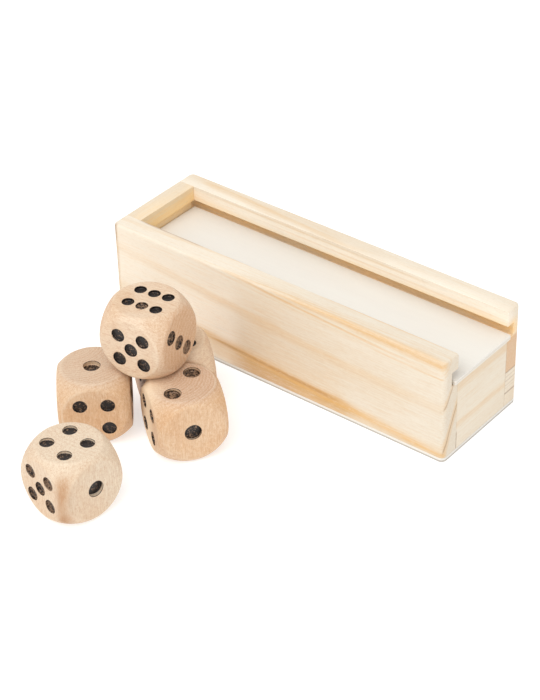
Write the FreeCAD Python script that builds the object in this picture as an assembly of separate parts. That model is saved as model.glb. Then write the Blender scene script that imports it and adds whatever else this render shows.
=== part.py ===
import FreeCAD, Part
import math
import os

# Five wooden dice and the pine box that they are kept in, in millimetres.
# X runs along the box, from its closed end to the end where the lid slides out.
# Y runs from the box's front to its back, and Z is up.
# The origin is the middle of the box's underside, on the surface that everything stands on.

# Box boards
BOX_LENGTH = 175.0
BOX_WIDTH = 53.5
BOX_HEIGHT = 49.5
SIDE_THICKNESS = 9.0
END_THICKNESS = 8.5
BASE_THICKNESS = 2.0
CORNER_RADIUS = 2.4
RIM_RADIUS = 1.2

# Grooves that the lid runs in, measured down from the rim
LIP_HEIGHT = 7.2
GROOVE_HEIGHT = 6.4
SIDE_GROOVE_DEPTH = 4.3
END_GROOVE_DEPTH = 1.8

# Lid
LID_THICKNESS = 2.0
LID_WIDTH = 40.0
LID_FRONT_GAP = 1.45
LID_TAIL_GAP = 0.2
LID_PROUD = 0.8
LID_CORNER_RADIUS = 0.8
LID_CLEARANCE = 0.2

# Dice: a cube whose edges and corners are turned off by a sphere
DIE_EDGE = 30.0
DIE_SPHERE_RADIUS = 20.0
DRILL_OVERRUN = 1.0
PIP_DIAMETER = {1: 7.0, 2: 7.0, 3: 6.0, 4: 5.8, 5: 5.8, 6: 5.0}
PIP_DEPTH = {1: 2.0, 2: 2.0, 3: 1.2, 4: 1.2, 5: 1.2, 6: 1.2}

# Pip patterns, in pitches from the middle of a face: along the face, then up it
PIP_PITCH = (5.65, 5.65)
SIX_PITCH = (6.5, 4.85)
FALLING_DIAGONAL = [(-1, 1), (1, -1)]
FOUR_CORNERS = [(-1, -1), (-1, 1), (1, -1), (1, 1)]
PIP_PATTERN = {
    1: [(0, 0)],
    2: FALLING_DIAGONAL,
    3: FALLING_DIAGONAL + [(0, 0)],
    4: FOUR_CORNERS,
    5: FOUR_CORNERS + [(0, 0)],
    6: FOUR_CORNERS + [(0, -1), (0, 1)],
}

# Each face of a die: its outward normal, then the directions along and up the face
FACES = {
    "top": ((0, 0, 1), (1, 0, 0), (0, 1, 0)),
    "bottom": ((0, 0, -1), (1, 0, 0), (0, 1, 0)),
    "front": ((0, -1, 0), (1, 0, 0), (0, 0, 1)),
    "back": ((0, 1, 0), (1, 0, 0), (0, 0, 1)),
    "right": ((1, 0, 0), (0, 1, 0), (0, 0, 1)),
    "left": ((-1, 0, 0), (0, 1, 0), (0, 0, 1)),
}

# Where each die stands: its middle, the storey that it is on, its turn about Z in degrees,
# what three of its faces show, and how far off centre those faces were drilled (along, up)
DICE = {
    "top_die": {
        "middle": (-25.8, -74.0), "storey": 1, "turn": 10.0,
        "shows": {"top": 6, "front": 5, "right": 3},
        "off_centre": {"top": (0.7, 0.4), "front": (0.9, -0.2), "right": (-0.8, -0.9)},
    },
    "left_die": {
        "middle": (-42.5, -90.6), "storey": 0, "turn": 41.0,
        "shows": {"top": 1, "front": 4, "right": 5},
        "off_centre": {"top": (-0.4, -0.4), "front": (0.1, -0.5)},
    },
    "right_die": {
        "middle": (-5.4, -77.6), "storey": 0, "turn": -33.5,
        "shows": {"top": 2, "front": 4, "right": 1},
        "off_centre": {"top": (0.4, -0.2), "right": (-0.5, 0.5)},
    },
    "back_die": {
        "middle": (-28.9, -56.6), "storey": 0, "turn": -34.0,
        "shows": {"top": 5, "front": 3, "right": 1},
        "off_centre": {},
    },
    "front_die": {
        "middle": (-15.2, -134.3), "storey": 0, "turn": -9.5,
        "shows": {"top": 4, "front": 5, "right": 1},
        "off_centre": {"top": (-0.4, -0.4), "front": (-0.5, 0.1), "right": (0.5, 0.5)},
    },
}
OPPOSITE = {"top": "bottom", "front": "back", "right": "left"}
OPPOSITE_SUM = 7

# Places worked out from the sizes above
LEFT = -BOX_LENGTH / 2
RIGHT = BOX_LENGTH / 2
FRONT = -BOX_WIDTH / 2
BACK = BOX_WIDTH / 2
INNER_WIDTH = BOX_WIDTH - 2 * SIDE_THICKNESS
GROOVE_TOP = BOX_HEIGHT - LIP_HEIGHT
GROOVE_FLOOR = GROOVE_TOP - GROOVE_HEIGHT

# Two places closer than this are the same place
TOLERANCE = 0.001


def vector(x, y, z=0.0):
    return FreeCAD.Vector(x, y, z)


def block(low, high):
    """A plain block between two opposite corners."""
    size = [high[axis] - low[axis] for axis in range(3)]
    return Part.makeBox(size[0], size[1], size[2], vector(*low))


def corner_arc(centre, start_degrees, radius):
    """A quarter circle, counter-clockwise from start_degrees."""
    circle = Part.Circle(vector(*centre), vector(0, 0, 1), radius)
    start = math.radians(start_degrees)
    return Part.Arc(circle, start, start + math.pi / 2).toShape()


def plate(low, high, radii):
    """A plate between two corners. radii are its vertical corners' radii, counter-clockwise
    from front left; 0 is a square corner."""
    x_low, y_low, z_low = low
    x_high, y_high, z_high = high
    corners = [(x_low, y_low, 1, 1), (x_high, y_low, -1, 1),
               (x_high, y_high, -1, -1), (x_low, y_high, 1, -1)]
    edges = []
    points = []
    for index, (x, y, inward_x, inward_y) in enumerate(corners):
        radius = radii[index]
        start_degrees = 180 + 90 * index
        if radius:
            centre = (x + inward_x * radius, y + inward_y * radius)
            arc = corner_arc(centre, start_degrees, radius)
            points.append((arc.Vertexes[0].Point, arc.Vertexes[-1].Point))
            edges.append(arc)
        else:
            points.append((vector(x, y), vector(x, y)))
    for index in range(len(corners)):
        start = points[index][1]
        end = points[(index + 1) % len(corners)][0]
        edges.append(Part.LineSegment(start, end).toShape())
    wire = Part.Wire(Part.__sortEdges__(edges))
    face = Part.Face(wire)
    face.translate(vector(0, 0, z_low))
    return face.extrude(vector(0, 0, z_high - z_low))


def round_top_edges(shape, keep, radius):
    """Rounds the top edges whose middle passes the test keep."""
    top = shape.BoundBox.ZMax
    chosen = []
    for edge in shape.Edges:
        middle = edge.valueAt((edge.FirstParameter + edge.LastParameter) / 2)
        flat = edge.BoundBox.ZLength < TOLERANCE
        if flat and abs(middle.z - top) < TOLERANCE and keep(middle):
            chosen.append(edge)
    return shape.makeFillet(radius, chosen)


def side_board(outer_y, inner_y):
    """A long side board with the lid's groove along its inner face. outer_y and inner_y are
    the places of its two faces."""
    is_front = outer_y < inner_y
    r = CORNER_RADIUS
    radii = (r, r, 0, 0) if is_front else (0, 0, r, r)
    y_low = min(outer_y, inner_y)
    y_high = max(outer_y, inner_y)
    board = plate((LEFT, y_low, BASE_THICKNESS), (RIGHT, y_high, BOX_HEIGHT), radii)
    board = round_top_edges(board, lambda point: abs(point.y - inner_y) > TOLERANCE, RIM_RADIUS)
    groove_back = inner_y + math.copysign(SIDE_GROOVE_DEPTH, outer_y - inner_y)
    groove = block((LEFT, min(groove_back, inner_y), GROOVE_FLOOR),
                   (RIGHT, max(groove_back, inner_y), GROOVE_TOP))
    return board.cut(groove)


def closed_end():
    """The full-height end board between the sides, with a shallow groove for the lid's tail."""
    inner_x = LEFT + END_THICKNESS
    board = block((LEFT, -INNER_WIDTH / 2, BASE_THICKNESS), (inner_x, INNER_WIDTH / 2, BOX_HEIGHT))
    board = round_top_edges(board, lambda point: abs(point.x - LEFT) < TOLERANCE, RIM_RADIUS)
    groove = block((inner_x - END_GROOVE_DEPTH, -INNER_WIDTH / 2, GROOVE_FLOOR),
                   (inner_x, INNER_WIDTH / 2, GROOVE_TOP))
    return board.cut(groove)


def low_end():
    """The lower end board that the lid slides over."""
    top = GROOVE_FLOOR - LID_CLEARANCE
    return block((RIGHT - END_THICKNESS, -INNER_WIDTH / 2, BASE_THICKNESS),
                 (RIGHT, INNER_WIDTH / 2, top))


def base_panel():
    """The thin floor under the four boards."""
    return plate((LEFT, FRONT, 0.0), (RIGHT, BACK, BASE_THICKNESS), (CORNER_RADIUS,) * 4)


def sliding_lid():
    """The thin lid, pushed in. Its end stands a little proud of the low end."""
    tail = LEFT + END_THICKNESS - END_GROOVE_DEPTH + LID_TAIL_GAP
    lid_front = FRONT + SIDE_THICKNESS - SIDE_GROOVE_DEPTH + LID_FRONT_GAP
    low = (tail, lid_front, GROOVE_FLOOR)
    high = (RIGHT + LID_PROUD, lid_front + LID_WIDTH, GROOVE_FLOOR + LID_THICKNESS)
    return plate(low, high, (0, LID_CORNER_RADIUS, LID_CORNER_RADIUS, 0))


def pip_places(value):
    """Where a face's pips are, in millimetres from its middle: along the face, then up it."""
    pitch_along, pitch_up = SIX_PITCH if value == 6 else PIP_PITCH
    return [(along * pitch_along, up * pitch_up) for along, up in PIP_PATTERN[value]]


def drilled_pips(face, value, off_centre):
    """The cylinders that drill one face."""
    normal, along, up = [vector(*direction) for direction in FACES[face]]
    depth = PIP_DEPTH[value]
    drills = []
    for place_along, place_up in pip_places(value):
        middle = along * (place_along + off_centre[0]) + up * (place_up + off_centre[1])
        bottom = middle + normal * (DIE_EDGE / 2 - depth)
        length = depth + DRILL_OVERRUN
        drills.append(Part.makeCylinder(PIP_DIAMETER[value] / 2, length, bottom, normal))
    return drills


def face_values(shows):
    """What all six faces show: opposite faces add up to seven."""
    values = dict(shows)
    for face, value in shows.items():
        values[OPPOSITE[face]] = OPPOSITE_SUM - value
    return values


def die(middle, storey, turn, shows, off_centre):
    """One die, drilled and put in its place."""
    half = DIE_EDGE / 2
    blank = block((-half, -half, -half), (half, half, half))
    blank = blank.common(Part.makeSphere(DIE_SPHERE_RADIUS))
    for face, value in face_values(shows).items():
        for drill in drilled_pips(face, value, off_centre.get(face, (0.0, 0.0))):
            blank = blank.cut(drill)
    blank.rotate(vector(0, 0), vector(0, 0, 1), turn)
    blank.translate(vector(middle[0], middle[1], (storey + 0.5) * DIE_EDGE))
    return blank


def build():
    """Every piece, by the name of its node."""
    pieces = {
        "front_side": side_board(FRONT, FRONT + SIDE_THICKNESS),
        "back_side": side_board(BACK, BACK - SIDE_THICKNESS),
        "closed_end": closed_end(),
        "low_end": low_end(),
        "base_panel": base_panel(),
        "sliding_lid": sliding_lid(),
    }
    for name, placing in DICE.items():
        pieces[name] = die(**placing)
    return pieces


os.makedirs("parts", exist_ok=True)
for node, piece in build().items():
    solids = piece.Solids
    if len(solids) != 1 or not solids[0].isValid():
        raise RuntimeError(node + " is not one valid solid")
    solids[0].exportStep(os.path.join("parts", node + ".step"))
    print(node, "volume %.0f mm3" % solids[0].Volume)
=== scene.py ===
"""The looks of a boxed set of wooden dice: a pine box with a thin sliding lid, and five
beech dice beside it. Every piece is a new mesh that stands for one CAD node."""
import math
import random

import bmesh
import bpy
from mathutils import Matrix, Vector
from mathutils.geometry import delaunay_2d_cdt


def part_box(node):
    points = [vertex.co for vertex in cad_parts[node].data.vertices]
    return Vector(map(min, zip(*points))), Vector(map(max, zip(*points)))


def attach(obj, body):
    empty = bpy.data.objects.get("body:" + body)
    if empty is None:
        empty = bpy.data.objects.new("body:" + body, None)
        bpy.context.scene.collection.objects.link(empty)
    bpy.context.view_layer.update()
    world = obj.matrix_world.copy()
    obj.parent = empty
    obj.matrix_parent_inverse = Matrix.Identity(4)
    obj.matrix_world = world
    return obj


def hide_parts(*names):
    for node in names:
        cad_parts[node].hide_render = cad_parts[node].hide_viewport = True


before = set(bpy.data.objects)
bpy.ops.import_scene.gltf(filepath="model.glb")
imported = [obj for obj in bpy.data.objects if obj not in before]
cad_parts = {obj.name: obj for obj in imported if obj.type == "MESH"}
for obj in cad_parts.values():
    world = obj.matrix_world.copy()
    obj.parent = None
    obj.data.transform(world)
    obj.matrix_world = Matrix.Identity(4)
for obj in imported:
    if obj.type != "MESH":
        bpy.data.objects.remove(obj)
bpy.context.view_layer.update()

MM = 0.001
SCENE = bpy.context.scene

# ---------------------------------------------------------------- sizes, in millimetres
CORNER_RADIUS = 2.4
RIM_RADIUS = 1.2
SOFT_EDGE = 0.22
LIP_HEIGHT = 7.2
SIDE_GROOVE_DEPTH = 4.3
END_GROOVE_DEPTH = 1.8
LID_CORNER_RADIUS = 0.8
LID_SOFT_EDGE = 0.25
# The heights that the base panel's plies lie between. Its dark middle ply stands for painted contact shade
# along the box's foot as well
BASE_PLIES = (-0.6, 1.8)
# How near two points are when they count as one: in a test, and where a die's faces meet
SAME_PLACE = 0.01
SEAM = 0.002
# How finely the rounds are cut, and the angle from which an edge is softened
CORNER_SEGMENTS = 8
RIM_SEGMENTS = 5
SHARP_ANGLE = math.radians(35)

DIE_HALF = 15.0
DIE_SPHERE_RADIUS = 20.0
DIE_FILLET = 2.0
PIP_PITCH = 5.65
SIX_ALONG = 6.5
SIX_ACROSS = 4.85
PIP_DIAMETER = {1: 7.0, 2: 7.0, 3: 6.0, 4: 5.8, 5: 5.8, 6: 5.0}
PIP_DEPTH = {1: 2.0, 2: 2.0, 3: 1.2, 4: 1.2, 5: 1.2, 6: 1.2}
OPPOSITE_SUM = 7
FALLING = [(-1, 1), (1, -1)]
CORNERS = [(-1, -1), (-1, 1), (1, -1), (1, 1)]
PIP_PATTERN = {1: [(0, 0)], 2: FALLING, 3: FALLING + [(0, 0)], 4: CORNERS, 5: CORNERS + [(0, 0)]}

# How far noise moves a streak's edge, as a share of its radius
RAGGED_EDGE = 0.9

# A face's outward normal, then the directions along and up it
FACES = {
    "top": ((0, 0, 1), (1, 0, 0), (0, 1, 0)),
    "bottom": ((0, 0, -1), (1, 0, 0), (0, 1, 0)),
    "front": ((0, -1, 0), (1, 0, 0), (0, 0, 1)),
    "back": ((0, 1, 0), (1, 0, 0), (0, 0, 1)),
    "right": ((1, 0, 0), (0, 1, 0), (0, 0, 1)),
    "left": ((-1, 0, 0), (0, 1, 0), (0, 0, 1)),
}
OPPOSITE = {"top": "bottom", "front": "back", "right": "left"}


# ---------------------------------------------------------------- node helper
class Nodes:
    """A material's node tree, built by chaining calls. Lengths inside it are millimetres."""

    def __init__(self, name):
        self.material = bpy.data.materials.new(name)
        self.material.use_nodes = True
        self.tree = self.material.node_tree
        self.tree.nodes.clear()

    def node(self, kind, **settings):
        made = self.tree.nodes.new(kind)
        for key, value in settings.items():
            setattr(made, key, value)
        return made

    def feed(self, socket, value):
        if isinstance(value, bpy.types.NodeSocket):
            self.tree.links.new(value, socket)
        else:
            socket.default_value = value

    def math(self, operation, *values, clamp=False):
        made = self.node("ShaderNodeMath", operation=operation, use_clamp=clamp)
        for index, value in enumerate(values):
            self.feed(made.inputs[index], value)
        return made.outputs[0]

    def add(self, a, b):
        return self.math("ADD", a, b)

    def times(self, a, b):
        return self.math("MULTIPLY", a, b)

    def vector(self, operation, *values):
        made = self.node("ShaderNodeVectorMath", operation=operation)
        for index, value in enumerate(values):
            self.feed(made.inputs[index], value)
        scalar = operation in ("LENGTH", "DOT_PRODUCT")
        return made.outputs["Value" if scalar else "Vector"]

    def scaled(self, vector, factors):
        return self.vector("MULTIPLY", vector, factors)

    def split(self, vector):
        made = self.node("ShaderNodeSeparateXYZ")
        self.feed(made.inputs[0], vector)
        return made.outputs

    def join(self, x, y, z):
        made = self.node("ShaderNodeCombineXYZ")
        for index, value in enumerate((x, y, z)):
            self.feed(made.inputs[index], value)
        return made.outputs[0]

    def place(self):
        """The point's place in the piece's own frame, in millimetres."""
        return self.scaled(self.node("ShaderNodeTexCoord").outputs["Object"], (1 / MM,) * 3)

    def facing(self):
        return self.node("ShaderNodeTexCoord").outputs["Normal"]

    def noise(self, vector, scale=1.0, detail=2.0, roughness=0.5):
        made = self.node("ShaderNodeTexNoise", normalize=True)
        self.feed(made.inputs["Vector"], vector)
        self.feed(made.inputs["Scale"], scale)
        self.feed(made.inputs["Detail"], detail)
        self.feed(made.inputs["Roughness"], roughness)
        return made.outputs["Fac"]

    def between(self, value, low, high, to_low=0.0, to_high=1.0, smooth=True):
        """value, from low to high, turned into to_low to to_high, and held there outside."""
        made = self.node("ShaderNodeMapRange", clamp=True)
        made.interpolation_type = "SMOOTHSTEP" if smooth else "LINEAR"
        for index, item in enumerate((value, low, high, to_low, to_high)):
            self.feed(made.inputs[index], item)
        return made.outputs[0]

    def streak(self, colour, place, ragged, threads, start, end, radius, strength, tone):
        """Paints a soft streak between two points over the colour. It fades over the fifth next
        to each end. ragged, a noise, breaks up its edges, and threads, the fibres' noise, its
        middle."""
        run = Vector(end) - Vector(start)
        offset = self.vector("SUBTRACT", place, start)
        share = self.math("DIVIDE", self.vector("DOT_PRODUCT", offset, run), run.length_squared, clamp=True)
        reached = self.vector("SCALE", run)
        self.feed(reached.node.inputs["Scale"], share)
        away = self.vector("LENGTH", self.vector("SUBTRACT", offset, reached))
        away = self.add(away, self.times(self.add(ragged, -0.5), RAGGED_EDGE * radius))
        middle = self.math("ABSOLUTE", self.add(share, -0.5))
        ends = self.between(middle, 0.3, 0.5, strength, 0.0)
        share = self.times(ends, self.between(away, 0.0, radius, 1.0, 0.0))
        return self.mix(self.times(share, self.between(threads, 0.3, 0.6, 0.6, 1.0)), colour, tone)

    def ramp(self, value, stops):
        """Greys along a ramp: stops are (place, grey)."""
        made = self.node("ShaderNodeValToRGB")
        made.color_ramp.interpolation = "EASE"
        elements = made.color_ramp.elements
        while len(elements) > 1:
            elements.remove(elements[-1])
        for index, (place, grey) in enumerate(stops):
            element = elements[0] if index == 0 else elements.new(place)
            element.position = place
            element.color = (grey, grey, grey, 1)
        self.feed(made.inputs[0], value)
        return made.outputs["Color"]

    def mix(self, share, a, b):
        made = self.node("ShaderNodeMix", data_type="RGBA", blend_type="MIX", clamp_factor=True)
        self.feed(made.inputs["Factor"], share)
        self.feed(made.inputs[6], a)
        self.feed(made.inputs[7], b)
        return made.outputs[2]

    def bump(self, height, distance, strength=1.0, after=None):
        made = self.node("ShaderNodeBump")
        self.feed(made.inputs["Strength"], strength)
        self.feed(made.inputs["Distance"], distance * MM)
        self.feed(made.inputs["Height"], height)
        if after is not None:
            self.feed(made.inputs["Normal"], after)
        return made.outputs[0]

    def surface(self, colour, roughness, normal=None, specular=0.35):
        shader = self.node("ShaderNodeBsdfPrincipled")
        self.feed(shader.inputs["Base Color"], colour)
        self.feed(shader.inputs["Roughness"], roughness)
        self.feed(shader.inputs["Specular IOR Level"], specular)
        if normal is not None:
            self.feed(shader.inputs["Normal"], normal)
        out = self.node("ShaderNodeOutputMaterial")
        self.tree.links.new(shader.outputs[0], out.inputs[0])
        return self.material


def srgb(red, green, blue):
    """A colour given in 0 to 255, as the linear colour that nodes take."""
    def linear(value):
        value /= 255
        return value / 12.92 if value <= 0.04045 else ((value + 0.055) / 1.055) ** 2.4
    return (linear(red), linear(green), linear(blue), 1)


# How much brighter than its own colour the studio light shows a level surface
STUDIO_LIGHT = 1.16


def lit(red, green, blue):
    """The wood's own colour where the studio light shows it as this one, given in 0 to 255."""
    return tuple(part / STUDIO_LIGHT for part in srgb(red, green, blue)[:3]) + (1,)


# ---------------------------------------------------------------- pine and plywood
PINE_PALE = lit(246, 234, 214)
PINE_TAN = lit(232, 206, 172)
PINE_LATE = lit(234, 183, 108)
PINE_BROWN = lit(199, 150, 88)
PINE_UMBER = lit(160, 104, 56)
PINE_LINE = lit(132, 86, 50)
PINE_AMBER = lit(233, 181, 98)
PINE_RUST = lit(224, 168, 110)
# Paler wood that is also painted light, lifting the shade behind the dice
PINE_CREAM_PAINTED_LIGHT = lit(257, 246, 228)
# Painted light: a bright tone that offsets shade on the boards
PINE_PAINTED_LIGHT = lit(271, 260, 242)
# Painted shade: a neutral darker tone
PINE_PAINTED_SHADE = lit(230, 222, 207)
# Painted light: the warm bounce light inside a shaded groove
PINE_PAINTED_BOUNCE_LIGHT = lit(271, 229, 164)
# An orange wood tone that is also painted light, lifting a shaded face
PINE_HONEY_PAINTED_LIGHT = lit(271, 232, 168)
PLY_PALE = lit(246, 242, 233)
PLY_DARK = lit(240, 232, 222)
PLY_CORE = lit(214, 184, 142)
# A dark grey ply tone that on the base is also painted contact shade
PLY_CORE_CONTACT_SHADE = lit(176, 168, 158)


# How far noise moves a growth ring, in millimetres: slowly along the board, and in ripples
SLOW_SWAY = 1.32
RIPPLE_SWAY = 0.54
# How fine each of the wood's noises is, along the grain and across it, per millimetre
PINE_SLOW = (0.010, 0.03)
PINE_RIPPLE = (0.05, 0.5)
PINE_CLOUD = (0.02, 0.05)
PINE_FIBRES = (0.06, 1.6)
PINE_DASHES = (0.14, 4.0)
PINE_FINE = (0.5, 1.7)


def band_stops(bands, low, high):
    """Ramp stops for bands of dark wood: (inner radius, outer radius, inner fade, outer fade,
    strength), from the inside out."""
    stops = []
    for inner, outer, inner_fade, outer_fade, strength in bands:
        for radius, grey in ((inner - inner_fade, 0.0), (inner, strength), (outer, strength),
                             (outer + outer_fade, 0.0)):
            stops.append(((radius - low) / (high - low), grey))
    return stops


def pine(name, along, pith, bands, lines, bend, seed, streaks=(), warmth=0.0, strongest=None,
         late=PINE_LATE, face_share=1.0):
    """Sawn pine. along is the axis that the grain follows, 0 for X or 1 for Y. pith is where
    the rings' centre is, across the grain, and bend(nodes, distance along) is how far up the
    rings have moved there. bands are the rings' soft dark wood, and lines, (radius, half width,
    strength on end grain), their sharp edges. streaks, (start, end, radius, strength, tone), are
    painted over the board's ground tone, and warmth makes that tone tanner. strongest, (place
    along, reach, least strength), is where the bands show most. late is the bands' own tone, and
    face_share is how strong they are away from the end grain."""
    g = Nodes(name)
    place = g.place()
    parts = g.split(place)
    distance = parts[along]
    across = parts[1 - along]
    height = parts[2]
    axis = (1, 0, 0) if along == 0 else (0, 1, 0)
    end_grain = g.between(g.math("ABSOLUTE", g.vector("DOT_PRODUCT", g.facing(), axis)), 0.5, 0.9)

    def grain(lengthwise, crosswise):
        return (lengthwise, crosswise, crosswise) if along == 0 else (crosswise, lengthwise, crosswise)

    slow = g.noise(g.vector("ADD", g.scaled(place, grain(*PINE_SLOW)), (seed, 0, seed)), 1.0, 1.0)
    ripple = g.noise(g.vector("ADD", g.scaled(place, grain(*PINE_RIPPLE)), (seed, seed, seed)), 1.0, 3.0)
    sway = g.add(g.times(g.add(slow, -0.5), SLOW_SWAY), g.times(g.add(ripple, -0.5), RIPPLE_SWAY))
    lifted = g.math("SUBTRACT", height, bend(g, distance))
    flat = g.join(g.add(across, -pith[0]), g.add(lifted, -pith[1]), 0.0)
    depth = g.add(g.vector("LENGTH", flat), g.times(sway, g.between(end_grain, 0, 1, 1.0, 0.4)))
    low = min(band[0] - band[2] for band in bands) - 1
    high = max([band[1] + band[3] for band in bands] + [line[0] + line[1] for line in lines]) + 1
    share = g.between(depth, low, high, smooth=False)
    soft = g.ramp(share, band_stops(bands, low, high))
    line = g.ramp(share, band_stops([(r, r, half, half, strength) for r, half, strength in lines], low, high))
    emphasis = 1.0
    if strongest:
        middle, reach, least = strongest
        away = g.math("ABSOLUTE", g.add(distance, -middle))
        emphasis = g.between(away, 0.2 * reach, reach, 1.0, least)
    # slow changes of tone along the board, streaks of fibres, and short resin dashes
    cloud = g.noise(g.vector("ADD", g.scaled(place, grain(*PINE_CLOUD)), (seed, 0, 0)), 1.0, 3.0)
    fibres = g.noise(g.scaled(place, grain(*PINE_FIBRES)), 1.0, 4.0, 0.6)
    dashes = g.between(g.noise(g.scaled(place, grain(*PINE_DASHES)), 1.0, 2.0), 0.62, 0.74)
    colour = g.mix(g.add(g.between(cloud, 0.35, 0.75, 0.0, 0.30), warmth), PINE_PALE, PINE_TAN)
    for start, end, radius, strength, tone in streaks:
        colour = g.streak(colour, place, cloud, fibres, start, end, radius, strength, tone)
    colour = g.mix(g.between(fibres, 0.40, 0.75, 0.0, 0.20), colour, PINE_LATE)
    face_band = g.times(g.times(soft, emphasis), face_share)
    broken = g.times(face_band, g.between(fibres, 0.3, 0.65, 0.75, 1.0))
    colour = g.mix(g.mix(end_grain, broken, soft), colour, late)
    colour = g.mix(g.times(line, g.between(end_grain, 0, 1, 0.08, 1.0)), colour, PINE_LINE)
    colour = g.mix(g.times(dashes, 0.12), colour, PINE_BROWN)
    fine = g.noise(g.scaled(place, grain(*PINE_FINE)), 1.0, 2.0, 0.7)
    colour = g.mix(g.between(fine, 0.45, 0.75, 0.0, 0.10), colour, PINE_BROWN)
    colour = g.mix(g.between(fine, 0.25, 0.48, 0.25, 0.0), colour, PINE_PALE)
    speck = g.noise(place, 2.6, 2.0)
    colour = g.mix(g.times(g.between(speck, 0.5, 0.75), g.times(end_grain, 0.12)), colour, PINE_BROWN)
    roughness = g.between(fibres, 0.3, 0.7, 0.52, 0.68)
    normal = g.bump(g.add(g.times(fibres, 0.6), g.times(soft, 0.4)), 0.07, 0.5)
    normal = g.bump(g.noise(place, 2.2, 3.0, 0.7), 0.06, g.between(end_grain, 0, 1, 0.12, 0.7), normal)
    return g.surface(colour, roughness, normal)


def plywood(name, seed, thickness_low, thickness_high, core_strength, core_tone):
    """Thin pale plywood: smooth faces with faint grain, and three plies at its edges."""
    g = Nodes(name)
    place = g.place()
    cloud = g.noise(g.vector("ADD", g.scaled(place, (0.015, 0.06, 0.06)), (seed, 0, 0)), 1.0, 2.0)
    fibres = g.noise(g.scaled(place, (0.05, 1.2, 1.2)), 1.0, 4.0, 0.6)
    colour = g.mix(g.between(cloud, 0.3, 0.7, 0.0, 0.30), PLY_PALE, PLY_DARK)
    colour = g.mix(g.between(fibres, 0.45, 0.8, 0.0, 0.22), colour, PLY_DARK)
    up = g.math("ABSOLUTE", g.split(g.facing())[2])
    edge = g.between(up, 0.35, 0.75, 1.0, 0.0)
    share = g.between(g.split(place)[2], thickness_low, thickness_high, smooth=False)
    core = g.ramp(share, [(0.0, 0), (0.3, 0), (0.36, 1), (0.64, 1), (0.7, 0)])
    colour = g.mix(g.times(g.times(core, edge), core_strength), colour, core_tone)
    normal = g.bump(fibres, 0.04, 0.5)
    return g.surface(colour, g.between(fibres, 0.3, 0.7, 0.5, 0.62), normal, 0.3)


# ---------------------------------------------------------------- beech and paint
PAINT = srgb(26, 19, 17)
PAINT_WORN = srgb(62, 50, 43)
PAINT_THIN = srgb(168, 134, 106)
BEECH_PALE = lit(246, 224, 196)
BEECH_MID = lit(238, 206, 170)
BEECH_TAN = lit(234, 192, 148)
BEECH_DARK = lit(192, 132, 86)
BEECH_BROWN = lit(184, 128, 76)
# Painted light: a paler tone that lifts a shaded die face
BEECH_PAINTED_LIGHT = lit(262, 240, 207)
BEECH_END = lit(218, 188, 162)
TOP_DIE_TONES = (lit(243, 221, 194), lit(235, 203, 168))
TOP_DIE_END = lit(226, 184, 146)
LEFT_DIE_END = lit(226, 205, 181)
FRONT_DIE_TONES = (lit(241, 225, 200), lit(234, 206, 174))
# As for pine: how fine each noise is, along the grain and across it
BEECH_WOBBLE = (0.03, 0.06)
BEECH_FIBRES = (0.16, 2.2)
BEECH_FLECKS = (0.7, 4.4)
BEECH_SPECKLE = (0.6, 1.1)


def paint(g, place, worn_and_highlight_here, wear, seed):
    """Black paint where the mesh's "paint" attribute says so, flaked by up to wear. Gives how
    much of it is there, its colour and its roughness."""
    share = g.node("ShaderNodeAttribute", attribute_name="paint").outputs["Fac"]
    ragged = g.add(share, g.times(g.add(g.noise(place, 1.5, 3.0, 0.7), -0.5), 0.7))
    mask = g.between(ragged, 0.44, 0.56)
    chips = g.noise(g.vector("ADD", place, (seed, 0, 0)), 0.9, 5.0, 0.8)
    flaked = g.between(g.add(chips, g.times(worn_and_highlight_here, 0.15)), 0.57, 0.64, 0.0, wear)
    worn = g.between(g.noise(place, 1.1, 3.0, 0.65), 0.45, 0.75)
    coat = g.mix(flaked, g.mix(g.times(worn, 0.5), PAINT, PAINT_WORN), PAINT_THIN)
    return mask, coat, g.between(worn, 0, 1, 0.30, 0.5)


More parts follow.
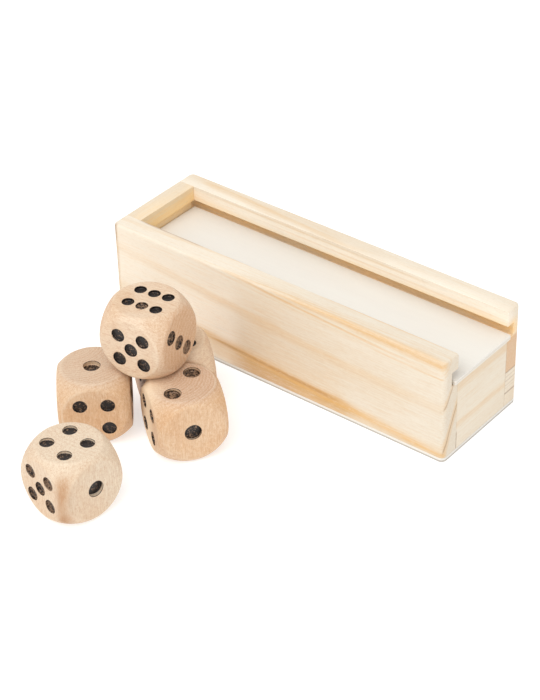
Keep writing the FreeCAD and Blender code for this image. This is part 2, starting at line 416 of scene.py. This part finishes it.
def beech(name, grain, pith, spacing, tones, end_tone, rings, seed, streaks=(), wear=0.3):
    """Beech with painted pips. The mesh's "worn" attribute says where the pips' paint flakes more and
    where the flats' rims get a painted highlight. grain is the axis that the fibres follow, and pith
    is a point that the rings' centre line passes. spacing is how far apart the rings are, and rings
    how strongly they show. tones are the wood's pale and mid colours, end_tone is its end grain, and
    wear is how much of the paint has flaked. streaks are as in pine."""
    g = Nodes(name)
    place = g.place()

    def stretched(lengthwise, crosswise):
        return tuple(lengthwise if grain[i] else crosswise for i in range(3))

    end_grain = g.between(g.math("ABSOLUTE", g.vector("DOT_PRODUCT", g.facing(), grain)), 0.45, 0.95)
    wobble = g.noise(g.vector("ADD", g.scaled(place, stretched(*BEECH_WOBBLE)), (seed, seed, 0)), 1.0, 2.0)
    flat = g.scaled(g.vector("SUBTRACT", place, pith), stretched(0.0, 1.0))
    depth = g.add(g.vector("LENGTH", flat), g.times(g.add(wobble, -0.5), 3.0))
    turn = g.math("FRACT", g.math("DIVIDE", depth, spacing))
    uneven = g.noise(g.join(g.math("FLOOR", g.math("DIVIDE", depth, spacing)), seed, 0.0), 3.7, 0.0)
    ring = g.times(g.ramp(turn, [(0.0, 0.0), (0.4, 0.15), (0.82, 1.0), (0.93, 0.9), (1.0, 0.0)]),
                   g.between(uneven, 0.3, 0.7, 0.35, 1.0))
    fibre_place = g.vector("ADD", g.scaled(place, stretched(*BEECH_FIBRES)), (seed, 0, seed))
    fibres = g.noise(fibre_place, 1.0, 4.0, 0.7)
    flecks = g.between(g.noise(g.scaled(place, stretched(*BEECH_FLECKS)), 1.0, 1.0), 0.56, 0.70)
    pores = g.between(g.noise(place, 2.3, 2.0, 0.7), 0.48, 0.68)
    cloud = g.noise(g.vector("ADD", g.scaled(place, (0.05, 0.05, 0.05)), (0, seed, seed)), 1.0, 3.0)
    colour = g.mix(g.between(cloud, 0.3, 0.7, 0.0, 0.9), tones[0], tones[1])
    colour = g.mix(g.between(end_grain, 0, 1, 0.0, 0.8), colour, end_tone)
    colour = g.mix(g.times(ring, g.between(end_grain, 0, 1, 0.35 * rings, rings)), colour, BEECH_DARK)
    pale_ring = g.ramp(turn, [(0.0, 0.0), (0.1, 1.0), (0.3, 0.0)])
    colour = g.mix(g.times(pale_ring, g.times(end_grain, rings)), colour, BEECH_PALE)
    colour = g.mix(g.between(fibres, 0.42, 0.70, 0.0, 0.32), colour, BEECH_DARK)
    colour = g.mix(g.between(fibres, 0.28, 0.46, 0.40, 0.0), colour, BEECH_PALE)
    colour = g.mix(g.times(flecks, g.between(end_grain, 0, 1, 0.28, 0.08)), colour, BEECH_DARK)
    colour = g.mix(g.times(pores, g.between(end_grain, 0, 1, 0.22, 0.32)), colour, BEECH_DARK)
    speckle = g.noise(g.scaled(place, stretched(*BEECH_SPECKLE)), 1.0, 2.0, 0.8)
    colour = g.mix(g.between(speckle, 0.48, 0.70, 0.0, 0.22), colour, BEECH_DARK)
    colour = g.mix(g.between(speckle, 0.30, 0.48, 0.30, 0.0), colour, BEECH_PALE)
    worn_and_highlight_here = g.node("ShaderNodeAttribute", attribute_name="worn").outputs["Fac"]
    mask, coat, coat_roughness = paint(g, place, worn_and_highlight_here, wear, seed)
    bare_wood = g.math("SUBTRACT", 1.0, mask)
    # painted highlight: the flats' rims are painted paler
    rim_highlight = g.times(g.times(worn_and_highlight_here, g.between(wobble, 0.38, 0.6, 0.04, 0.34)), bare_wood)
    colour = g.mix(rim_highlight, colour, BEECH_PALE)
    for start, end, radius, strength, tone in streaks:
        colour = g.streak(colour, place, fibres, fibres, start, end, radius, strength, tone)
    colour = g.mix(mask, colour, coat)
    roughness = g.add(g.times(g.between(fibres, 0.3, 0.7, 0.5, 0.66), bare_wood),
                      g.times(coat_roughness, mask))
    normal = g.bump(g.add(g.times(fibres, 0.8), g.times(ring, 0.4)), 0.09, 0.8)
    saw = g.noise(g.vector("ADD", g.scaled(place, (2.0, 2.0, 2.0)), (seed, 1, 2)), 1.0, 3.0, 0.7)
    normal = g.bump(saw, 0.07, g.between(mask, 0, 1, 0.5, 0.7), normal)
    return g.surface(colour, roughness, normal, 0.4)


# ---------------------------------------------------------------- meshes
def shown(name, bm, material, node):
    """Puts a finished mesh in the scene, in place of its CAD node."""
    bmesh.ops.recalc_face_normals(bm, faces=bm.faces[:])
    for face in bm.faces:
        face.smooth = True
    mesh = bpy.data.meshes.new(name)
    bm.to_mesh(mesh)
    bm.free()
    mesh.materials.append(material)
    piece = bpy.data.objects.new(name, mesh)
    SCENE.collection.objects.link(piece)
    shading = piece.modifiers.new("even_shading", "WEIGHTED_NORMAL")
    shading.weight = 100
    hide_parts(node)
    return piece


def prism(outline, axis, start, end):
    """A solid with this outline, drawn across the axis, from start to end along it, in metres."""
    bm = bmesh.new()
    loops = []
    for place in (start, end):
        points = [(place, a, b) if axis == 0 else ((a, place, b) if axis == 1 else (a, b, place))
                  for a, b in outline]
        loops.append([bm.verts.new(point) for point in points])
        bm.faces.new(loops[-1])
    for index in range(len(outline)):
        after = (index + 1) % len(outline)
        bm.faces.new((loops[0][index], loops[0][after], loops[1][after], loops[1][index]))
    bmesh.ops.recalc_face_normals(bm, faces=bm.faces[:])
    return bm


def round_edges(bm, radius, segments, keep):
    """Rounds the edges that pass the test keep(first end, second end)."""
    edges = [edge for edge in bm.edges if keep(edge.verts[0].co, edge.verts[1].co)]
    bmesh.ops.bevel(bm, geom=edges, offset=radius * MM, offset_type="OFFSET", segments=segments,
                    profile=0.5, affect="EDGES", clamp_overlap=True)


def soften(bm, radius=SOFT_EDGE):
    """Takes the sharpness off every edge that is still sharp."""
    edges = [edge for edge in bm.edges if len(edge.link_faces) == 2
             and edge.calc_face_angle() > SHARP_ANGLE]
    bmesh.ops.bevel(bm, geom=edges, offset=radius * MM, offset_type="OFFSET", segments=2,
                    profile=0.5, affect="EDGES", clamp_overlap=True)


def near(a, b):
    return abs(a - b) < SAME_PLACE * MM


def side_board(node, body, material):
    """A long side with the lid's groove in its inner face."""
    low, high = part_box(node)
    outer, inner = (low.y, high.y) if low.y + high.y < 0 else (high.y, low.y)
    groove = inner + math.copysign(SIDE_GROOVE_DEPTH * MM, outer - inner)
    groove_top = high.z - LIP_HEIGHT * MM
    groove_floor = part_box("sliding_lid")[0].z
    outline = [(outer, low.z), (inner, low.z), (inner, groove_floor), (groove, groove_floor),
               (groove, groove_top), (inner, groove_top), (inner, high.z), (outer, high.z)]
    bm = prism(outline, 0, low.x, high.x)
    round_edges(bm, CORNER_RADIUS, CORNER_SEGMENTS, lambda a, b: near(a.y, outer) and near(b.y, outer)
                and near(a.x, b.x) and not near(a.z, b.z))
    round_edges(bm, RIM_RADIUS, RIM_SEGMENTS, lambda a, b: near(a.z, high.z) and near(b.z, high.z)
                and not (near(a.y, inner) and near(b.y, inner)))
    soften(bm)
    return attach(shown(node + "_board", bm, material, node), body)


def closed_end(node, body, material):
    """The full-height end, with the lid's groove in its inner face."""
    low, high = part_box(node)
    groove = high.x - END_GROOVE_DEPTH * MM
    groove_top = high.z - LIP_HEIGHT * MM
    groove_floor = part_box("sliding_lid")[0].z
    outline = [(low.x, low.z), (high.x, low.z), (high.x, groove_floor), (groove, groove_floor),
               (groove, groove_top), (high.x, groove_top), (high.x, high.z), (low.x, high.z)]
    bm = prism(outline, 1, low.y, high.y)
    round_edges(bm, RIM_RADIUS, RIM_SEGMENTS, lambda a, b: near(a.z, high.z) and near(b.z, high.z)
                and near(a.x, low.x) and near(b.x, low.x))
    soften(bm)
    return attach(shown(node + "_board", bm, material, node), body)


def plain_board(node, body, material, radii=(0, 0, 0, 0), soft=SOFT_EDGE):
    """A flat board. radii are its upright corners' radii, counter-clockwise from front left."""
    low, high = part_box(node)
    outline = [(low.x, low.y), (high.x, low.y), (high.x, high.y), (low.x, high.y)]
    bm = prism(outline, 2, low.z, high.z)
    for (x, y), radius in zip(outline, radii):
        if radius:
            round_edges(bm, radius, CORNER_SEGMENTS, lambda a, b: near(a.x, x) and near(b.x, x)
                        and near(a.y, y) and near(b.y, y))
    soften(bm, soft)
    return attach(shown(node + "_board", bm, material, node), body)


def ring_of(bm, points):
    return [bm.verts.new(point) for point in points]


def bridge(bm, first, second):
    for index in range(len(first)):
        after = (index + 1) % len(first)
        bm.faces.new((first[index], first[after], second[after], second[index]))


def pip_places(value):
    if value == 6:
        return [(column * SIX_ALONG, row * SIX_ACROSS) for column in (-1, 0, 1) for row in (-1, 1)]
    return [(along * PIP_PITCH, up * PIP_PITCH) for along, up in PIP_PATTERN[value]]


# Points round a face and round a pip, and steps of a face's fillet and of the sphere past it
RIM_COUNT = 96
PIP_COUNT = 40
FACE_STEPS = 5
# Where the fillet round a die's flat begins, and the angle that it turns through
FILLET_PLACE = math.sqrt((DIE_SPHERE_RADIUS - DIE_FILLET) ** 2 - (DIE_HALF - DIE_FILLET) ** 2)
FILLET_ANGLE = math.acos((DIE_HALF - DIE_FILLET) / (DIE_SPHERE_RADIUS - DIE_FILLET))
# How strongly each ring round the flat gets its painted highlight, outwards
RIM_HIGHLIGHT = (0.6, 1.0, 1.0, 0.6, 0.2)
# Millimetres past a pip's wall: where its drilled edge begins, and where its paint ends
PIP_EDGE = 0.14
PIP_SPILL = 0.45
# How bare a pip's wall is and how flaked its paint, where the dice's table doesn't say, and the
# barest that a wall can be
USUAL_BARE = 0.1
USUAL_FLAKED = 0.1
BAREST = 0.97
# How far that bareness, and the angle that turns its deepest side, differ from pip to pip
BARE_SPREAD = 0.10
LEAN_SPREAD = 0.8


def around(count):
    """This many angles, evenly around a full turn."""
    return [2 * math.pi * k / count for k in range(count)]


def flat_edge(bm, at):
    """The fillet round a face's flat, and the part of the sphere past it. at(u, v, w) is the
    place this far along, up and out. Gives the vertices next to the flat."""
    worn_and_highlight_layer = bm.verts.layers.float["worn"]
    turns = around(RIM_COUNT)
    loops = []
    for step in range(FACE_STEPS + 1):
        t = FILLET_ANGLE * step / FACE_STEPS
        r = FILLET_PLACE + DIE_FILLET * math.sin(t)
        w = DIE_HALF - DIE_FILLET + DIE_FILLET * math.cos(t)
        loops.append([at(r * math.cos(a), r * math.sin(a), w) for a in turns])
    for step in range(1, FACE_STEPS + 1):
        loop = []
        for a in turns:
            reach = math.atan(1 / max(abs(math.cos(a)), abs(math.sin(a))))
            t = FILLET_ANGLE + (reach - FILLET_ANGLE) * step / FACE_STEPS
            r = DIE_SPHERE_RADIUS * math.sin(t)
            loop.append(at(r * math.cos(a), r * math.sin(a), DIE_SPHERE_RADIUS * math.cos(t)))
        loops.append(loop)
    rings = [ring_of(bm, loop) for loop in loops]
    # painted highlight on the rings round the flat, kept in the "worn" attribute
    for ring, share in zip(rings[1:], RIM_HIGHLIGHT):
        for vert in ring:
            vert[worn_and_highlight_layer] = share
    for first, second in zip(rings, rings[1:]):
        bridge(bm, first, second)
    return rings[0]


def drilled_pip(bm, at, middle, radius, depth, missing, lean, chipped):
    """One pip. missing is how far down its wall the paint is missing, as a share of the depth.
    lean, an angle, turns the side where it reaches deepest, and chipped is how much of the other
    paint has flaked. Gives the vertices next to the flat."""
    paint_layer = bm.verts.layers.float["paint"]
    worn_and_highlight_layer = bm.verts.layers.float["worn"]
    # rings of the drilled hole: radius beyond the pip's, depth, and how painted it is, or None
    # where that follows from the missing paint
    section = [(PIP_SPILL, 0.0, 0.0), (PIP_EDGE, 0.0, 0.30), (0.04, 0.05, 0.90), (0.0, PIP_EDGE, 1.0),
               (0.0, 0.22 * depth, None), (0.0, 0.5 * depth, None), (0.0, 0.75 * depth, None),
               (-0.12, 0.93 * depth, None), (-0.35, depth, 1.0), (-0.55 * radius, depth, 1.0)]
    rings = []
    for beyond, down, painted in section:
        ring = []
        for a in around(PIP_COUNT):
            uneven = 1 + 0.008 * math.sin(3 * a + lean) + 0.006 * math.sin(5 * a + 2 * lean)
            r = (radius + beyond) * uneven if beyond > -1 else radius + beyond
            vert = bm.verts.new(at(middle[0] + r * math.cos(a), middle[1] + r * math.sin(a),
                                   DIE_HALF - down))
            vert[worn_and_highlight_layer] = chipped if beyond < PIP_EDGE else 0.0
            if painted is None:
                edge_of_paint = missing * (1 + 0.5 * math.sin(a + lean))
                vert[paint_layer] = min(1.0, max(0.0, 0.5 + 2.2 * (down / depth - edge_of_paint)))
            else:
                vert[paint_layer] = painted
            ring.append(vert)
        rings.append(ring)
    for first, second in zip(rings, rings[1:]):
        bridge(bm, first, second)
    centre = bm.verts.new(at(middle[0], middle[1], DIE_HALF - depth))
    centre[paint_layer] = 1.0
    centre[worn_and_highlight_layer] = chipped
    for k in range(PIP_COUNT):
        bm.faces.new((rings[-1][k], rings[-1][(k + 1) % PIP_COUNT], centre))
    return rings[0]


def fill_flat(bm, along, up, rim, pips, hole_radius):
    """Triangles over a face's flat, from its rim to its pips' rings. pips are (middle, ring)."""
    points = [Vector((FILLET_PLACE * math.cos(a), FILLET_PLACE * math.sin(a))) for a in around(RIM_COUNT)]
    verts = list(rim)
    edges = [(k, (k + 1) % RIM_COUNT) for k in range(RIM_COUNT)]
    for middle, ring in pips:
        base = len(points)
        for vert in ring:
            local = vert.co / MM
            points.append(Vector((local.dot(along), local.dot(up))))
        verts += ring
        edges += [(base + k, base + (k + 1) % PIP_COUNT) for k in range(PIP_COUNT)]
    points, _, triangles, origin, _, _ = delaunay_2d_cdt(points, edges, [], 0, 1e-6)
    for triangle in triangles:
        centre = sum((points[k] for k in triangle), Vector((0, 0))) / 3
        if all((centre - Vector(middle)).length >= hole_radius for middle, _ in pips):
            bm.faces.new([verts[origin[k][0]] for k in triangle])


def die_face(bm, axes, value, off_centre, bare, flaked, rng):
    """One face: its flat with the pips, and what surrounds it. bare is how far down a pip's
    wall the paint is missing, as a share of the depth, and flaked is how much of each pip's
    paint has come off."""
    normal, along, up = [Vector(direction) for direction in axes]

    def at(u, v, w):
        return (along * u + up * v + normal * w) * MM

    rim = flat_edge(bm, at)
    radius = PIP_DIAMETER[value] / 2
    bare_side = 0.0 if normal.z > 0.5 else math.pi
    pips = []
    for index, (u, v) in enumerate(pip_places(value)):
        middle = (u + off_centre[0], v + off_centre[1])
        chipped = flaked[index] if index < len(flaked) else USUAL_FLAKED
        missing = min(BAREST, max(0.0, bare + rng.uniform(-BARE_SPREAD, BARE_SPREAD)))
        lean = bare_side + rng.uniform(-LEAN_SPREAD, LEAN_SPREAD)
        ring = drilled_pip(bm, at, middle, radius, PIP_DEPTH[value], missing, lean, chipped)
        pips.append((middle, ring))
    fill_flat(bm, along, up, rim, pips, radius + PIP_SPILL - SAME_PLACE)


def die(node, turn, shows, off_centre, bare, flaked, seed, material):
    """One die, turned by this many degrees. shows gives three faces' values. off_centre, bare and
    flaked are by face: how far its pips are drilled off its middle, and their missing paint."""
    low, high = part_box(node)
    bm = bmesh.new()
    for layer in ("paint", "worn"):
        bm.verts.layers.float.new(layer)
    rng = random.Random(seed)
    values = dict(shows)
    for face, value in shows.items():
        values[OPPOSITE[face]] = OPPOSITE_SUM - value
    for face, axes in FACES.items():
        die_face(bm, axes, values[face], off_centre.get(face, (0.0, 0.0)), bare.get(face, USUAL_BARE),
                 flaked.get(face, ()), rng)
    bmesh.ops.remove_doubles(bm, verts=bm.verts[:], dist=SEAM * MM)
    piece = shown(node + "_beech", bm, material, node)
    piece.matrix_world = Matrix.Translation((low + high) / 2) @ Matrix.Rotation(math.radians(turn), 4, "Z")
    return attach(piece, node)


# ---------------------------------------------------------------- the box
def slope(first, second, start):
    """How far the rings have sunk, this far before start, along the grain."""
    def bend(g, distance):
        before = g.math("SUBTRACT", start, distance)
        return g.add(g.times(before, first), g.times(g.times(before, before), second))
    return bend


def upright(y, rows):
    """Streaks on an upright face at this Y. A row is the start's X and Z, the end's X and Z, the
    radius, the strength and the tone."""
    return [((x0, y, z0), (x1, y, z1), *looks) for x0, z0, x1, z1, *looks in rows]


def level(z, rows):
    """Streaks on a level face at this Z. A row is like upright's, with Y in place of Z."""
    return [((x0, y0, z), (x1, y1, z), *looks) for x0, y0, x1, y1, *looks in rows]


front_low, front_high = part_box("front_side")
back_low, back_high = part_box("back_side")
outer_front = front_low.y / MM
inner_back = back_low.y / MM
outer_back = back_high.y / MM
rim = front_high.z / MM
INSIDE_BACK_GROOVE = 21.0

FRONT_STREAKS = upright(outer_front, [
    # paler wood on the left half, brightened further as painted light against the shade behind the dice
    (-150, 36, 0, 30, 34.0, 0.80, PINE_CREAM_PAINTED_LIGHT),
    # painted light that offsets the shade behind the dice
    (-64, 14, -15, 12, 30.0, 0.85, PINE_PAINTED_LIGHT),
    # painted shade that dims the right part of the face
    (-8, 16, 185, 16, 70.0, 0.60, PINE_PAINTED_SHADE),
    (-24, 15, 46, 10, 17.0, 0.60, PINE_TAN),
    (-26, 34, 80, 22, 20.0, 0.40, PINE_TAN),
    (-25, 7, 48, 4, 8.0, 0.65, PINE_BROWN),
    # painted shade along the foot of the face
    (-27, 1.5, 15, 1, 9.0, 0.38, PINE_UMBER),
    (-22, 8.8, 50, 5.6, 3.8, 0.45, PINE_BROWN),
    (-70, 14.6, 120, 0.8, 3.4, 0.60, PINE_AMBER),
    (-10, 50, 130, 46, 3.4, 0.60, PINE_LATE),
    (-20, 48.6, 66, 43.2, 0.9, 0.50, PINE_LATE),
    (50, 41.8, 95, 40.9, 0.8, 0.35, PINE_LATE),
    (-38, 12.0, 40, 7.6, 1.6, 0.75, PINE_UMBER),
    (-92, 1.9, 92, 1.9, 0.5, 0.55, PINE_LINE),
    (87.5, -10, 87.5, 60, 1.0, 0.50, PINE_LATE),
    # painted shade along the rounded left edge, where it turns away from the light
    (-86.0, 4, -86.0, 66, 1.7, 0.50, PINE_BROWN),
    (-86.4, 40, -86.4, 54, 1.6, 0.7, PINE_LINE),
]) + level(rim, [
    # painted shade lines along the rim's inner edge, above the lid
    (-82, -18.0, -40, -18.0, 0.9, 0.5, PINE_LINE),
    (15, -17.9, 85, -17.9, 0.8, 0.5, PINE_LATE),
])
BACK_STREAKS = level(rim, [
    (-90, 25.2, 18, 17.8, 2.8, 0.42, PINE_LATE),
    (-80, 22.5, -30, 19.0, 1.4, 0.25, PINE_LATE),
]) + upright(inner_back, [
    # painted light on the back lip's inner face, offsetting its shade
    (-150, 46, 130, 46, 6.5, 1.0, PINE_PAINTED_LIGHT),
    (-80, 48.4, 60, 47.8, 0.9, 0.35, PINE_LATE),
    (-50, 45.6, 95, 44.6, 0.8, 0.30, PINE_LATE),
]) + upright(INSIDE_BACK_GROOVE, [
    # painted bounce light that brightens the shaded groove
    (-130, 39.6, 140, 39.6, 7.0, 1.0, PINE_PAINTED_BOUNCE_LIGHT),
]) + upright(outer_back, [
    (-120, 36, 70, 31, 3.6, 0.50, PINE_LATE),
    (-40, 27, 130, 22, 2.6, 0.45, PINE_LATE),
    (-110, 19.5, 40, 18.5, 0.8, 0.50, PINE_BROWN),
    (-20, 13, 120, 9, 1.8, 0.40, PINE_LATE),
    (-100, 46, 20, 44, 1.2, 0.35, PINE_LATE),
])
# The closed end's inner rim: orange wood, brightened with painted light where it lies in shade
CLOSED_STREAKS = [((-78.5, -50, 43), (-78.5, 50, 43), 12.0, 1.0, PINE_HONEY_PAINTED_LIGHT)]
LOW_STREAKS = [((87.5, -17.75, -2), (87.5, -17.75, 12), 0.5, 0.7, PINE_LINE),
               ((87.5, 17.75, -14), (87.5, 17.75, 50), 0.45, 0.7, PINE_LINE)]

front_pine = pine("pine_front", 0, (100.0, -35.0),
                  [(132.0, 133.2, 2.4, 1.6, 0.40), (140.6, 141.3, 1.5, 0.8, 0.30),
                   (147.6, 147.8, 0.3, 0.3, 0.15), (148.6, 148.9, 0.4, 0.3, 0.30),
                   (151.0, 152.6, 1.6, 1.4, 0.30)],
                  [(132.4, 0.6, 0.50), (140.3, 0.5, 0.45)],
                  slope(0.023, 0.000316, 85.0), 3.0, FRONT_STREAKS, strongest=(0.0, 85.0, 0.55))
back_pine = pine("pine_back", 0, (20.0, 420.0), [(384.5, 400.2, 1.5, 0.3, 0.60)],
                 [(370.6, 0.5, 0.2), (400.5, 0.6, 0.55), (402.8, 0.4, 0.25), (404.9, 0.5, 0.3),
                  (407.1, 0.4, 0.25), (408.6, 0.3, 0.2), (411.2, 0.7, 0.55)],
                 slope(0.002, 0.0, 0.0), 11.0, BACK_STREAKS, late=PINE_RUST, face_share=0.12)
closed_pine = pine("pine_closed_end", 1, (-20.0, -120.0),
                   [(146.4, 147.0, 3.0, 1.4, 0.32), (156.8, 157.6, 3.0, 1.6, 0.38),
                    (167.5, 168.6, 4.0, 2.0, 0.34)],
                   [(147.0, 0.4, 0.4), (158.0, 0.4, 0.4)],
                   slope(0.01, 0.0, 0.0), 17.0, CLOSED_STREAKS, warmth=0.1)
low_pine = pine("pine_low_end", 1, (120.0, -260.0),
                [(275.4, 276.4, 2.0, 2.0, 0.30), (293.9, 295.6, 2.4, 1.8, 0.30)], [(276.4, 0.4, 0.0)],
                slope(0.004, 0.0, 0.0), 23.0, LOW_STREAKS)
lid_low, lid_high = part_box("sliding_lid")
lid_ply = plywood("plywood_lid", 5.0, lid_low.z / MM, lid_high.z / MM, 0.25, PLY_CORE)
# the base's dark middle ply: plywood core and painted contact shade along the box's foot
base_ply = plywood("plywood_base", 9.0, *BASE_PLIES, 0.75, PLY_CORE_CONTACT_SHADE)

side_board("front_side", "box", front_pine)
side_board("back_side", "box", back_pine)
closed_end("closed_end", "box", closed_pine)
plain_board("low_end", "box", low_pine)
plain_board("base_panel", "box", base_ply, (CORNER_RADIUS,) * 4)
plain_board("sliding_lid", "lid", lid_ply, (0, LID_CORNER_RADIUS, LID_CORNER_RADIUS, 0),
            LID_SOFT_EDGE)

# ---------------------------------------------------------------- the dice
DICE = {
    "top_die": dict(
        turn=10.0, shows={"top": 6, "front": 5, "right": 3},
        off_centre={"top": (0.7, 0.4), "front": (0.9, -0.2), "right": (-0.8, -0.9)},
        bare={"top": 0.05, "right": 0.15},
        flaked={"top": (0.0, 0.0, 0.6, 0.0, 0.0, 0.0), "right": (0.6, 1.0, 0.8)}, seed=11,
        material=beech("beech_top", (1, 0, 0), (0, 16, -8), 2.4, TOP_DIE_TONES, TOP_DIE_END, 0.22, 1.3,
                       wear=0.8)),
    "left_die": dict(
        turn=41.0, shows={"top": 1, "front": 4, "right": 5},
        off_centre={"top": (-0.4, -0.4), "front": (0.1, -0.5)},
        bare={"top": 0.7}, flaked={"top": (0.5,), "front": (0.2, 0.2, 0.2, 0.2)}, seed=12,
        material=beech("beech_left", (0, 0, 1), (-9, 15, 0), 1.35, (BEECH_MID, BEECH_TAN), LEFT_DIE_END,
                       0.28, 7.7, wear=0.6)),
    "right_die": dict(
        turn=-33.5, shows={"top": 2, "front": 4, "right": 1},
        off_centre={"top": (0.4, -0.2), "right": (-0.5, 0.5)},
        bare={"top": 0.5, "right": 0.25},
        flaked={"top": (0.65, 0.6), "front": (0.6, 0.6, 0.6, 0.6), "right": (0.35,)}, seed=13,
        material=beech("beech_right", (0, 0, 1), (-7.1, -6.4, 0), 1.3, (BEECH_MID, BEECH_TAN), BEECH_END,
                       0.34, 4.1, wear=0.8,
                       # painted light on the front face, offsetting its shade
                       streaks=[((-2, -17, -26), (-2, -17, 26), 15.0, 0.85, BEECH_PAINTED_LIGHT)])),
    "back_die": dict(
        turn=-34.0, shows={"top": 5, "front": 3, "right": 1}, off_centre={},
        bare={"right": 0.3}, flaked={}, seed=14,
        material=beech("beech_back", (0, 1, 0), (5, 0, 25), 2.4, (BEECH_PALE, BEECH_MID), BEECH_END,
                       0.2, 2.9)),
    "front_die": dict(
        turn=-9.5, shows={"top": 4, "front": 5, "right": 1},
        off_centre={"top": (-0.4, -0.4), "front": (-0.5, 0.1), "right": (0.5, 0.5)},
        bare={"top": 0.5, "right": 0.6}, flaked={"front": (0.7, 0.7, 0.7, 0.9, 0.6)}, seed=15,
        material=beech("beech_front", (0, 0, 1), (-6, 30, 0), 2.0, FRONT_DIE_TONES, FRONT_DIE_TONES[0],
                       0.12, 5.2,
                       streaks=[((14.0, -14.5, 18), (9.5, -11.5, -34), 5.2, 0.70, BEECH_BROWN),
                                ((13.4, -15.0, 10), (9.0, -12.0, -28), 2.6, 0.50, BEECH_BROWN)],
                       wear=0.6)),
}
for die_name, details in DICE.items():
    die(die_name, **details)

# ---------------------------------------------------------------- floor, light and camera
WHITE = (1, 1, 1, 1)
FLOOR_SIZE = 40.0
FLOOR_DROP = 0.0001
FLOOR_GREY = (0.64, 0.64, 0.64, 1)
FLOOR_ROUGHNESS = 0.9
FLOOR_GLOW = 0.52
SURROUNDING_LIGHT = 0.80
SOFTBOX_PLACE = (0.10, -0.66, 1.06)
SOFTBOX_TARGET = (0, -0.05, 0.02)
SOFTBOX_SIZE = 0.9
SOFTBOX_WATTS = 8.2

floor_mesh = bpy.data.meshes.new("floor")
half = FLOOR_SIZE / 2
floor_mesh.from_pydata([(-half, -half, 0), (half, -half, 0), (half, half, 0), (-half, half, 0)], [],
                       [(0, 1, 2, 3)])
floor = bpy.data.objects.new("floor", floor_mesh)
floor.location.z = -FLOOR_DROP
SCENE.collection.objects.link(floor)
floor_nodes = Nodes("floor_white")
floor_nodes.surface(FLOOR_GREY, FLOOR_ROUGHNESS, specular=0.0)
floor_shader = next(n for n in floor_nodes.tree.nodes if n.type == "BSDF_PRINCIPLED")
floor_shader.inputs["Emission Color"].default_value = WHITE
floor_shader.inputs["Emission Strength"].default_value = FLOOR_GLOW
floor_mesh.materials.append(floor_nodes.material)

world = bpy.data.worlds.new("studio")
world.use_nodes = True
world.node_tree.nodes["Background"].inputs["Color"].default_value = WHITE
world.node_tree.nodes["Background"].inputs["Strength"].default_value = SURROUNDING_LIGHT
SCENE.world = world

softbox = bpy.data.lights.new("front_softbox", "AREA")
softbox.shape = "SQUARE"
softbox.size = SOFTBOX_SIZE
softbox.energy = SOFTBOX_WATTS
lamp = bpy.data.objects.new("front_softbox", softbox)
lamp.location = SOFTBOX_PLACE
lamp.rotation_mode = "QUATERNION"
lamp.rotation_quaternion = (Vector(SOFTBOX_TARGET) - Vector(SOFTBOX_PLACE)).to_track_quat("-Z", "Y")
SCENE.collection.objects.link(lamp)

CAMERA_PLACE = (0.45256, -0.57869, 0.52757)
CAMERA_FORWARD = (-0.517201, 0.629247, -0.580130)
CAMERA_RIGHT = (0.782477, 0.622268, -0.022646)
CAMERA_LENS = 107.3
CAMERA_SENSOR = 36.0
CAMERA_NEAR = 0.01
camera_data = bpy.data.cameras.new("camera")
camera_data.lens = CAMERA_LENS
camera_data.sensor_width = CAMERA_SENSOR
camera_data.clip_start = CAMERA_NEAR
camera = bpy.data.objects.new("camera", camera_data)
SCENE.collection.objects.link(camera)
forward = Vector(CAMERA_FORWARD).normalized()
right = Vector(CAMERA_RIGHT)
right = (right - forward * right.dot(forward)).normalized()
upward = right.cross(forward)
camera_turn = Matrix((right, upward, -forward)).transposed().to_4x4()
camera.matrix_world = Matrix.Translation(CAMERA_PLACE) @ camera_turn
SCENE.camera = camera
SCENE.view_settings.view_transform = "Standard"
